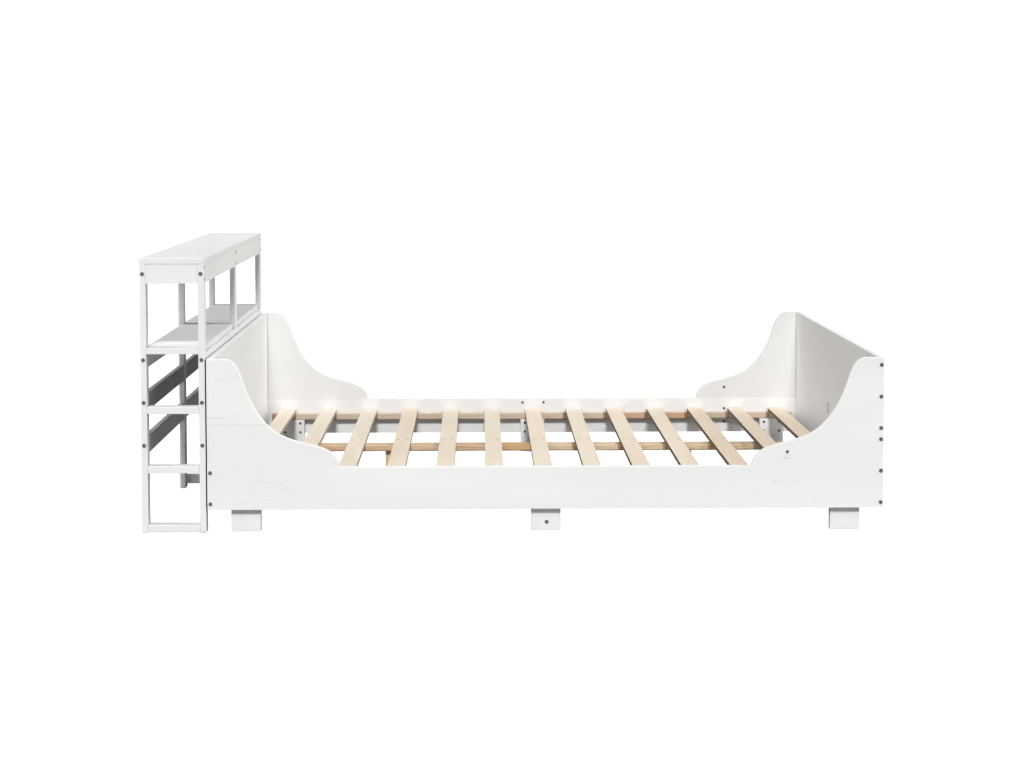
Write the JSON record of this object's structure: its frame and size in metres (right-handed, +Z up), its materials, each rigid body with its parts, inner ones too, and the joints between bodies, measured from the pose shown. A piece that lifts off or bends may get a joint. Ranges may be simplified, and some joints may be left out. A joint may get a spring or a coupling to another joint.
{
  "type": "bookcase headboard bed",
  "caption": "White painted pine double bed with scalloped side wings, solid headboard and footboard, slatted base, and an open bookcase frame standing behind the headboard.",
  "frame": {"origin": "on the floor under the centre of the whole object's outline", "axes": "+X from the bookcase at the head end towards the foot end, +Y from the near side to the far side, +Z up"},
  "size_m": [2.255, 1.66, 0.836],
  "materials": {
    "white_paint": "white satin paint over pine, grain and knots faintly showing",
    "pine_slat": "unfinished planed pine",
    "pine_frame": "unfinished sawn pine",
    "beech": "unfinished beech",
    "black_steel": "black plated steel, satin",
    "zinc_steel": "zinc plated"
  },
  "bodies": {
    "root": {"barrel_nuts": "zinc_steel", "bookcase_back_aprons": "white_paint", "bookcase_back_cross_boards": "white_paint", "bookcase_cross_aprons": "white_paint", "bookcase_front_aprons": "white_paint", "bookcase_front_cross_boards": "white_paint", "bookcase_middle_bearer": "white_paint", "bookcase_middle_bottom_rail": "white_paint", "bookcase_post_back_far": "white_paint", "bookcase_post_back_middle": "white_paint", "bookcase_post_back_near": "white_paint", "bookcase_post_front_far": "white_paint", "bookcase_post_front_middle": "white_paint", "bookcase_post_front_near": "white_paint", "bookcase_rungs_far": "white_paint", "bookcase_rungs_near": "white_paint", "bookcase_shelf_bearers": "white_paint", "bookcase_shelf_far": "white_paint", "bookcase_shelf_near": "white_paint", "bookcase_top_far": "white_paint", "bookcase_top_near": "white_paint", "centre_beam_foot": "pine_frame", "centre_beam_head": "pine_frame", "centre_leg_foot": "pine_frame", "centre_leg_head": "pine_frame", "connector_bolts": "black_steel", "foot_wing_far": "white_paint", "foot_wing_near": "white_paint", "footboard_lower": "white_paint", "footboard_upper": "white_paint", "head_lower_rail": "white_paint", "head_wing_far": "white_paint", "head_wing_near": "white_paint", "headboard_panel": "white_paint", "leg_foot_far": "white_paint", "leg_foot_near": "white_paint", "leg_head_far": "white_paint", "leg_head_near": "white_paint", "leg_middle_far": "white_paint", "leg_middle_near": "white_paint", "side_rail_far": "white_paint", "side_rail_near": "white_paint", "slat_01": "pine_slat", "slat_02": "pine_slat", "slat_03": "pine_slat", "slat_04": "pine_slat", "slat_05": "pine_slat", "slat_06": "pine_slat", "slat_07": "pine_slat", "slat_08": "pine_slat", "slat_09": "pine_slat", "slat_10": "pine_slat", "slat_11": "pine_slat", "slat_12": "pine_slat", "slat_13": "pine_slat", "slat_ledger_far": "pine_frame", "slat_ledger_near": "pine_frame", "wood_screws": "black_steel", "wooden_dowels": "beech"}
  },
  "joints": []
}
